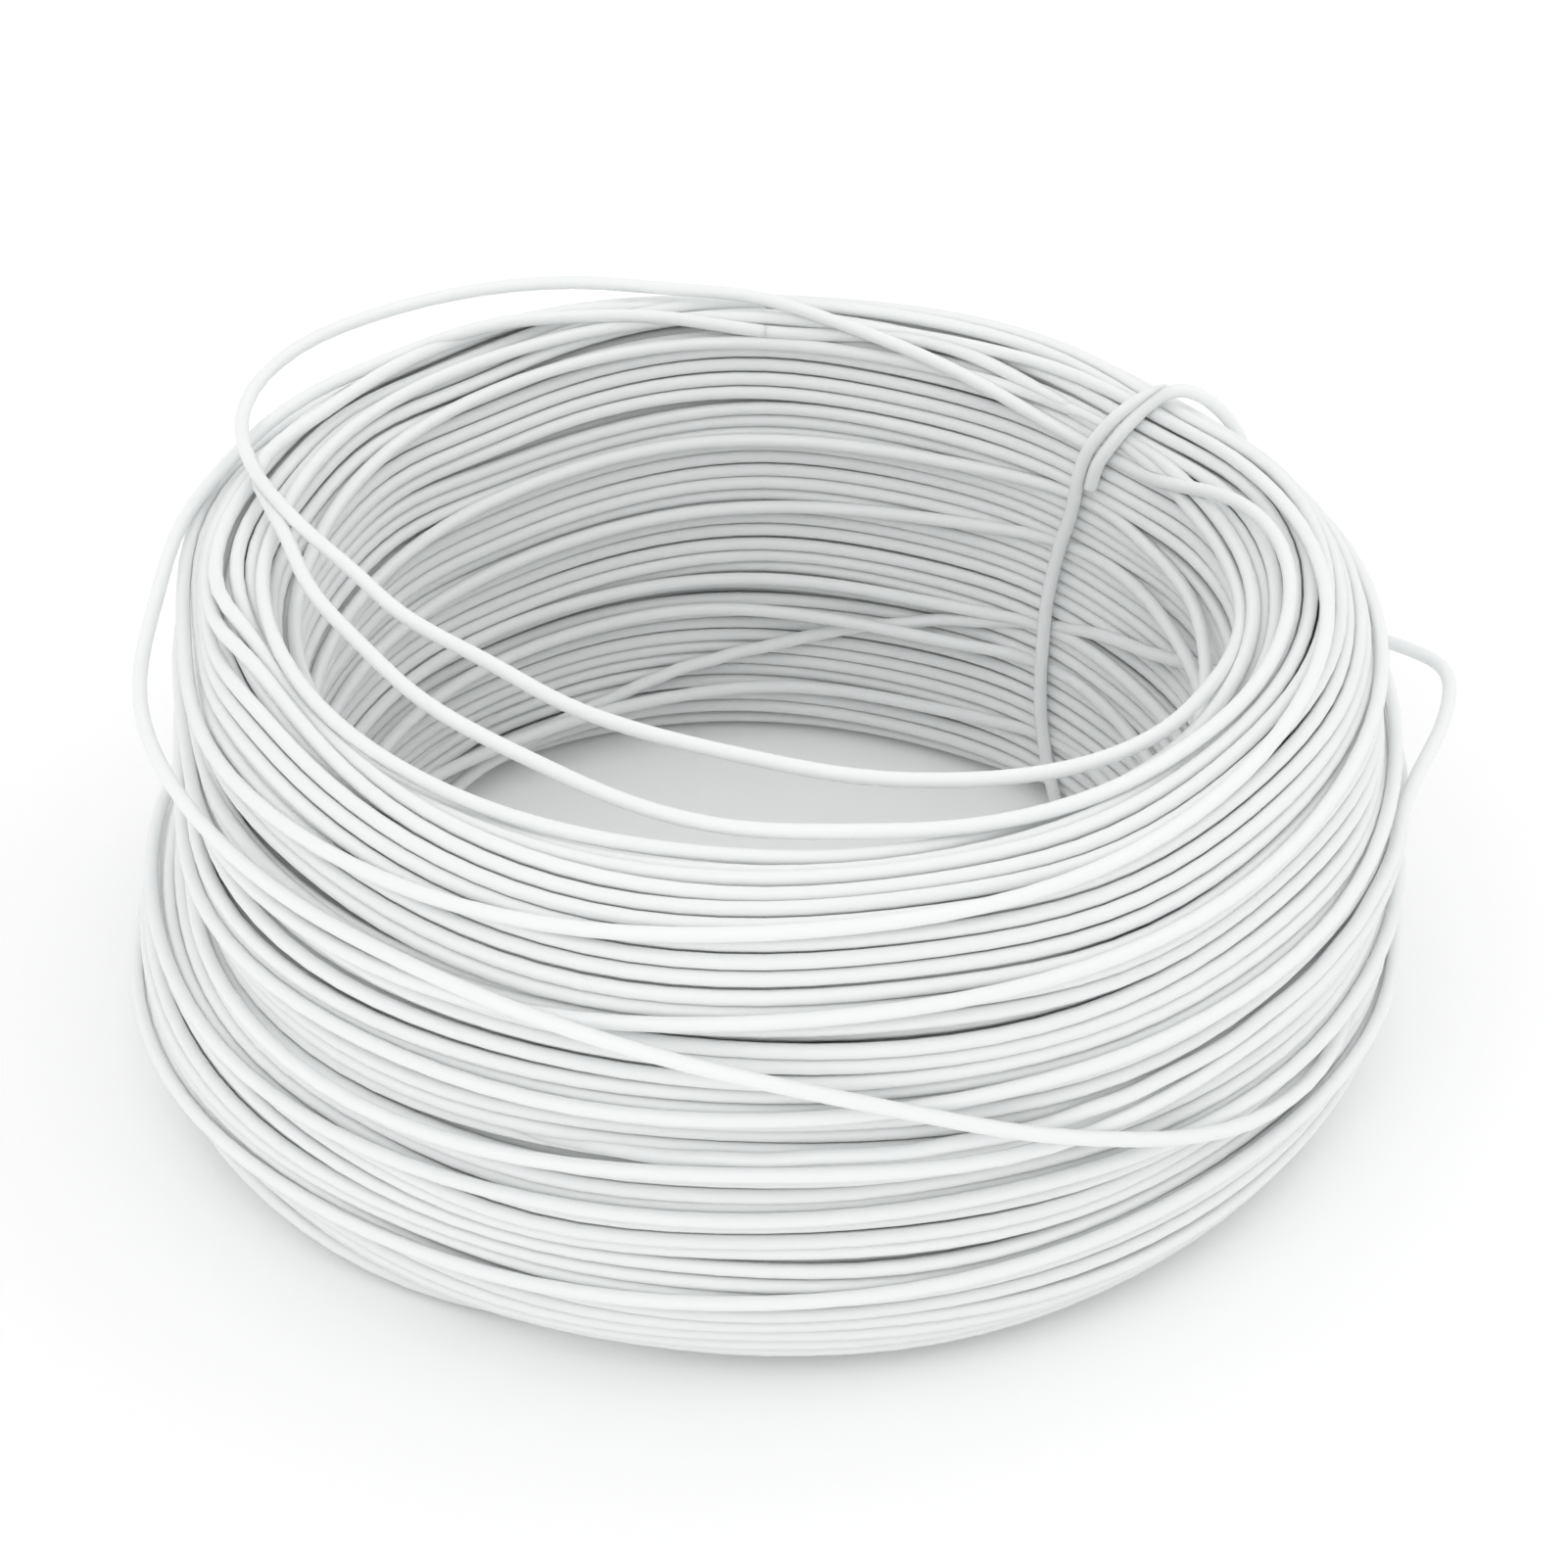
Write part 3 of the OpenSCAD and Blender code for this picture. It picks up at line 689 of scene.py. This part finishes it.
def wound_strands(seed, outer_count, under_count, stray_count):
    """The whole wire from the middle out: name, points, roundness and the solids it stands for."""
    rng = np.random.default_rng(seed)
    strands = core_strands(rng)
    strands.append(("under_turns", under_turns(rng, under_count), BELOW, ["packed_turns"]))
    bundle = Bundle(STATIONS, 0)
    walls = ["lower_turns", "upper_turns"]
    strands.append(("outer_turns", outer_turns(bundle, rng, outer_count), OUTER, walls))
    strands.append(("kinked_turn", kinked_turn(bundle), LOOSE, ["upper_turns"]))
    strands.append(("eye_strand", eye_strand(bundle), LOOSE, ["packed_turns"]))
    strands.append(("stray_turns", stray_turns(bundle, rng, stray_count), OUTER, walls))
    loops, crossing = loose_wire(bundle)
    strands.append(("loose_loops_wire", loops, LOOSE, ["loose_loops"]))
    strands.append(("crossing_wire", crossing, LOOSE, ["crossing_strand"]))
    return strands


def tie_route():
    """The tie's own line: down the eye from its end on the crown, under the bundle, up and over."""
    bottom = [(azimuth, radius, WIRE / 2) for azimuth, radius in TIE_UNDER]
    rows = TIE_CROWN_END + TIE_INNER_LEG + bottom + TIE_OUTER_LEG + TIE_CUT_END
    points = finer(np.array([around(*row) for row in rows]), TIE_PARTS)
    points[:, 2] = np.maximum(points[:, 2], WIRE / 2)
    return points


def stretched(points, extra):
    """The same line, longer by so much at each end."""
    first = points[0] + extra * (points[0] - points[1]) / np.linalg.norm(points[0] - points[1])
    last = points[-1] + extra * (points[-1] - points[-2]) / np.linalg.norm(points[-1] - points[-2])
    return np.concatenate([[first], points, [last]])


def wire_curve(name, points, diameter, material, roundness):
    """A round wire along points given in millimetres, as a bevelled curve."""
    curve = bpy.data.curves.new(name, "CURVE")
    curve.dimensions = "3D"
    curve.bevel_depth = diameter * MM / 2
    curve.bevel_resolution = roundness
    curve.use_fill_caps = True
    spline = curve.splines.new("POLY")
    spline.points.add(len(points) - 1)
    flat = np.ones((len(points), 4))
    flat[:, :3] = points * MM
    spline.points.foreach_set("co", flat.ravel())
    spline.use_smooth = True
    curve.materials.append(material)
    obj = bpy.data.objects.new(name, curve)
    bpy.context.scene.collection.objects.link(obj)
    return obj


def declare_piece(obj, slot, *nodes):
    """Ride a piece on the body, in place of the solids it stands for. The slot is not used."""
    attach(obj, "root")
    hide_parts(*nodes)


def blank_material(name):
    """A new material, its nodes, its links and its shader."""
    material = bpy.data.materials.new(name)
    material.use_nodes = True
    nodes = material.node_tree.nodes
    return material, nodes, material.node_tree.links, nodes["Principled BSDF"]


def noise(nodes, links, scale, detail):
    """Strength of a cloud of noise, fixed in the object."""
    where = nodes.new("ShaderNodeTexCoord")
    cloud = nodes.new("ShaderNodeTexNoise")
    cloud.inputs["Scale"].default_value = scale
    cloud.inputs["Detail"].default_value = detail
    links.new(where.outputs["Object"], cloud.inputs["Vector"])
    return cloud.outputs["Fac"]


def tinted(nodes, links, shader, share, dark, light):
    """Colour the shader between two tints."""
    tint = nodes.new("ShaderNodeMix")
    tint.data_type = "RGBA"
    tint.inputs[MIX_COLOUR_A].default_value = (*dark, 1)
    tint.inputs[MIX_COLOUR_B].default_value = (*light, 1)
    links.new(share, tint.inputs[MIX_SHARE])
    links.new(tint.outputs[MIX_COLOUR_OUT], shader.inputs["Base Color"])


def insulation_material(settings):
    """White PVC: clouded, faintly grained, and letting a little light in under its surface."""
    name = "white_pvc"
    if name in bpy.data.materials:
        return bpy.data.materials[name]
    material, nodes, links, shader = blank_material(name)
    shader.inputs["Roughness"].default_value = 0.42
    shader.inputs["IOR"].default_value = 1.5
    shader.inputs["Subsurface Weight"].default_value = 0.5
    shader.inputs["Subsurface Radius"].default_value = (1.0, 1.0, 1.0)
    shader.inputs["Subsurface Scale"].default_value = 0.0012
    cloud = noise(nodes, links, 60.0, 3.0)
    tinted(nodes, links, shader, cloud, settings.insulation_dark, settings.insulation_light)
    bump = nodes.new("ShaderNodeBump")
    bump.inputs["Strength"].default_value = 0.12
    bump.inputs["Distance"].default_value = 0.00005
    links.new(noise(nodes, links, 2500.0, 2.0), bump.inputs["Height"])
    links.new(bump.outputs["Normal"], shader.inputs["Normal"])
    return material


def copper_material(settings):
    """Drawn copper, with fine streaks in its tint and its gloss."""
    name = "drawn_copper"
    if name in bpy.data.materials:
        return bpy.data.materials[name]
    material, nodes, links, shader = blank_material(name)
    shader.inputs["Metallic"].default_value = 1.0
    streaks = noise(nodes, links, 9000.0, 2.0)
    tinted(nodes, links, shader, streaks, settings.copper_dark, settings.copper_light)
    gloss = nodes.new("ShaderNodeMapRange")
    gloss.inputs["To Min"].default_value = 0.2
    gloss.inputs["To Max"].default_value = 0.45
    links.new(streaks, gloss.inputs["Value"])
    links.new(gloss.outputs["Result"], shader.inputs["Roughness"])
    return material


class CoilSettings(bpy.types.PropertyGroup):
    seed: IntProperty(
        name="Winding", description="Seed of the way the turns fall", default=11, min=0)
    outer_turns: IntProperty(
        name="Outer turns", description="Turns of the layer that shows", default=76, min=40, max=90)
    under_turns: IntProperty(
        name="Turns below", description="Turns of the layer below it", default=72, min=40, max=90)
    stray_turns: IntProperty(
        name="Stray turns", description="Turns that wander over the outer layer",
        default=13, min=2, max=20)
    core_diameter: FloatProperty(
        name="Core", description="Diameter of the solid conductor", default=CORE_D * MM,
        min=0.2 * MM, max=1.2 * MM, unit="LENGTH", precision=4)
    insulation_dark: FloatVectorProperty(
        name="Insulation, dark", description="Darker tint of the clouded insulation",
        subtype="COLOR", default=(0.850, 0.868, 0.866), min=0, max=1)
    insulation_light: FloatVectorProperty(
        name="Insulation, light", description="Lighter tint of the clouded insulation",
        subtype="COLOR", default=(0.885, 0.901, 0.899), min=0, max=1)
    copper_dark: FloatVectorProperty(
        name="Copper, dark", description="Darker tint of the drawn conductor",
        subtype="COLOR", default=(0.62, 0.30, 0.17), min=0, max=1)
    copper_light: FloatVectorProperty(
        name="Copper, light", description="Lighter tint of the drawn conductor",
        subtype="COLOR", default=(0.86, 0.46, 0.29), min=0, max=1)


class StageSettings(bpy.types.PropertyGroup):
    world_level: FloatProperty(
        name="Sky", description="Strength of the even light from all round", default=0.9, min=0)
    key_power: FloatProperty(
        name="Key", description="Power of the lamp in front", default=3.0, min=0, unit="POWER")
    fill_power: FloatProperty(
        name="Fill", description="Power of the lamp at the right", default=1.6, min=0, unit="POWER")
    floor_colour: FloatVectorProperty(
        name="Floor", description="Colour of the floor", subtype="COLOR",
        default=(0.95, 0.95, 0.95), min=0, max=1)
    lens: FloatProperty(
        name="Lens", description="Focal length of the camera in millimetres", default=83.6, min=10)


class WIRECOIL_OT_camera(bpy.types.Operator):
    """Set the camera that looks down on the coil from the front"""
    bl_idname = "wirecoil.camera"
    bl_label = "Camera"

    def execute(self, context):
        data = bpy.data.cameras.new("camera")
        data.lens = context.scene.wirecoil_stage.lens
        data.sensor_width = 36.0
        data.clip_start = 0.01
        data.clip_end = 20.0
        place = Vector(CAMERA_PLACE)
        back = (place - Vector(CAMERA_AIM)).normalized()
        right = Vector((0, 0, 1)).cross(back).normalized()
        up = back.cross(right)
        tilted_right = right * math.cos(CAMERA_ROLL) + up * math.sin(CAMERA_ROLL)
        tilted_up = up * math.cos(CAMERA_ROLL) - right * math.sin(CAMERA_ROLL)
        turn = Matrix((tilted_right, tilted_up, back)).transposed().to_4x4()
        camera = bpy.data.objects.new("camera", data)
        camera.matrix_world = Matrix.Translation(place) @ turn
        context.scene.collection.objects.link(camera)
        context.scene.camera = camera
        return {"FINISHED"}


class WIRECOIL_OT_winding(bpy.types.Operator):
    """Wind the bundle from the middle out, and lay the loose loops and the crossing strand on it"""
    bl_idname = "wirecoil.winding"
    bl_label = "Winding"

    def execute(self, context):
        settings = context.scene.wirecoil_coil
        material = insulation_material(settings)
        counts = settings.outer_turns, settings.under_turns, settings.stray_turns
        for name, points, roundness, nodes in wound_strands(settings.seed, *counts):
            wire = wire_curve(name, points, WIRE, material, roundness)
            declare_piece(wire, "insulation", *nodes)
        return {"FINISHED"}


class WIRECOIL_OT_tie(bpy.types.Operator):
    """Bind the bundle with an offcut of the wire, whose ends lie side by side on the top"""
    bl_idname = "wirecoil.tie"
    bl_label = "Tie"

    def execute(self, context):
        settings = context.scene.wirecoil_coil
        points = tie_route()
        sleeve = wire_curve("tie_insulation_wire", points, WIRE, insulation_material(settings), LOOSE)
        declare_piece(sleeve, "insulation", "tie_insulation")
        longer = stretched(points, CORE_PROUD)
        core_d = settings.core_diameter / MM
        core = wire_curve("tie_conductor_wire", longer, core_d, copper_material(settings), CORE)
        declare_piece(core, "copper", "tie_conductor")
        return {"FINISHED"}


def pale_floor(scene, colour):
    """A wide floor, a little brighter to the camera so that it ends in white."""
    mesh = bpy.data.meshes.new("floor")
    bm = bmesh.new()
    bmesh.ops.create_grid(bm, x_segments=1, y_segments=1, size=FLOOR_HALF)
    bm.to_mesh(mesh)
    bm.free()
    floor = bpy.data.objects.new("floor", mesh)
    scene.collection.objects.link(floor)
    paint, nodes, links, shader = blank_material("pale_floor")
    shader.inputs["Base Color"].default_value = (*colour, 1)
    shader.inputs["Roughness"].default_value = 0.9
    shader.inputs["Specular IOR Level"].default_value = 0.0
    shader.inputs["Emission Color"].default_value = (1, 1, 1, 1)
    seen = nodes.new("ShaderNodeLightPath")
    glow = nodes.new("ShaderNodeMath")
    glow.operation = "MULTIPLY"
    glow.inputs[1].default_value = FLOOR_GLOW
    links.new(seen.outputs["Is Camera Ray"], glow.inputs[0])
    links.new(glow.outputs[0], shader.inputs["Emission Strength"])
    mesh.materials.append(paint)


def even_sky(scene, strength):
    """White light from all round, and plain white to the camera."""
    world = bpy.data.worlds.new("sky")
    world.use_nodes = True
    nodes, links = world.node_tree.nodes, world.node_tree.links
    sky = nodes["Background"]
    sky.inputs["Color"].default_value = (1, 1, 1, 1)
    seen = nodes.new("ShaderNodeLightPath")
    level = nodes.new("ShaderNodeMix")
    level.inputs[MIX_LEVEL_A].default_value = strength
    level.inputs[MIX_LEVEL_B].default_value = 1.0
    links.new(seen.outputs["Is Camera Ray"], level.inputs[MIX_SHARE])
    links.new(level.outputs[MIX_LEVEL_OUT], sky.inputs["Strength"])
    scene.world = world


def soft_lamp(scene, name, place, power):
    """A square lamp that points at the coil."""
    data = bpy.data.lights.new(name, "AREA")
    data.energy = power
    data.size = LAMP_SIZE
    lamp = bpy.data.objects.new(name, data)
    lamp.location = place
    lamp.rotation_euler = (Vector(LAMP_AIM) - Vector(place)).to_track_quat("-Z", "Y").to_euler()
    scene.collection.objects.link(lamp)


class WIRECOIL_OT_stage(bpy.types.Operator):
    """Set the pale floor, the lamps and the sky"""
    bl_idname = "wirecoil.stage"
    bl_label = "Stage"

    def execute(self, context):
        scene = context.scene
        settings = scene.wirecoil_stage
        scene.view_settings.view_transform = "Standard"
        pale_floor(scene, settings.floor_colour)
        even_sky(scene, settings.world_level)
        soft_lamp(scene, "key", KEY_PLACE, settings.key_power)
        soft_lamp(scene, "fill", FILL_PLACE, settings.fill_power)
        return {"FINISHED"}


class WIRECOIL_PT_panel(bpy.types.Panel):
    bl_label = "Wire Coil"
    bl_idname = "WIRECOIL_PT_panel"
    bl_space_type = "VIEW_3D"
    bl_region_type = "UI"
    bl_category = "Wire Coil"

    def draw(self, context):
        for group in (context.scene.wirecoil_coil, context.scene.wirecoil_stage):
            for prop in group.__annotations__:
                self.layout.prop(group, prop)
        for operator in OPERATORS:
            self.layout.operator(operator.bl_idname)


OPERATORS = (
    WIRECOIL_OT_camera, WIRECOIL_OT_winding, WIRECOIL_OT_tie, WIRECOIL_OT_stage,
)
CLASSES = (CoilSettings, StageSettings) + OPERATORS + (WIRECOIL_PT_panel,)


def register():
    for cls in CLASSES:
        bpy.utils.register_class(cls)
    bpy.types.Scene.wirecoil_coil = PointerProperty(type=CoilSettings)
    bpy.types.Scene.wirecoil_stage = PointerProperty(type=StageSettings)


def unregister():
    del bpy.types.Scene.wirecoil_coil
    del bpy.types.Scene.wirecoil_stage
    for cls in reversed(CLASSES):
        bpy.utils.unregister_class(cls)


def main():
    register()
    bpy.ops.wirecoil.camera()
    bpy.ops.wirecoil.winding()
    bpy.ops.wirecoil.tie()
    bpy.ops.wirecoil.stage()


if __name__ == "__main__":
    main()
